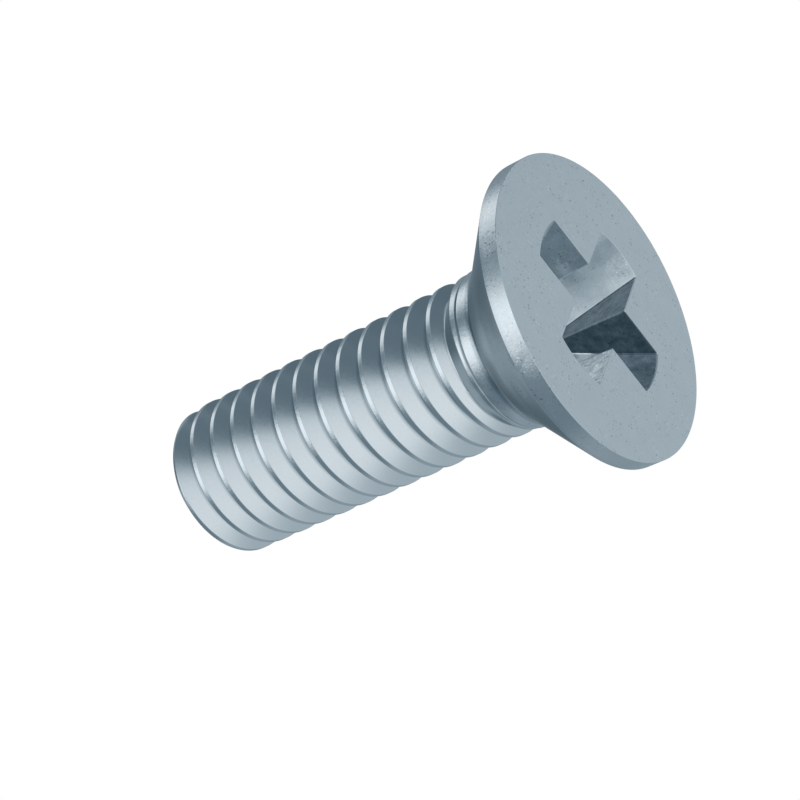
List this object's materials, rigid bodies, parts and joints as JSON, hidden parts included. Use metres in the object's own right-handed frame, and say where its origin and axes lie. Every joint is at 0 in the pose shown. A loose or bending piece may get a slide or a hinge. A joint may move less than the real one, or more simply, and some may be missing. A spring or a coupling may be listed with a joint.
{
  "type": "countersunk machine screw",
  "caption": "Flat countersunk machine screw with a cross recess in its head and a coarse right-hand metric thread running from just under the head to the bevelled tip.",
  "frame": {"origin": "centre of the flat head face, which is the base it stands on", "axes": "+Z along the screw's axis from the head face to the tip; X and Y across the head"},
  "size_m": [0.0074, 0.0074, 0.0119],
  "materials": {
    "zinc_plated_steel": "bright zinc plating with a cool blue-grey tint"
  },
  "bodies": {
    "root": {"countersunk_screw": "zinc_plated_steel"}
  },
  "joints": []
}
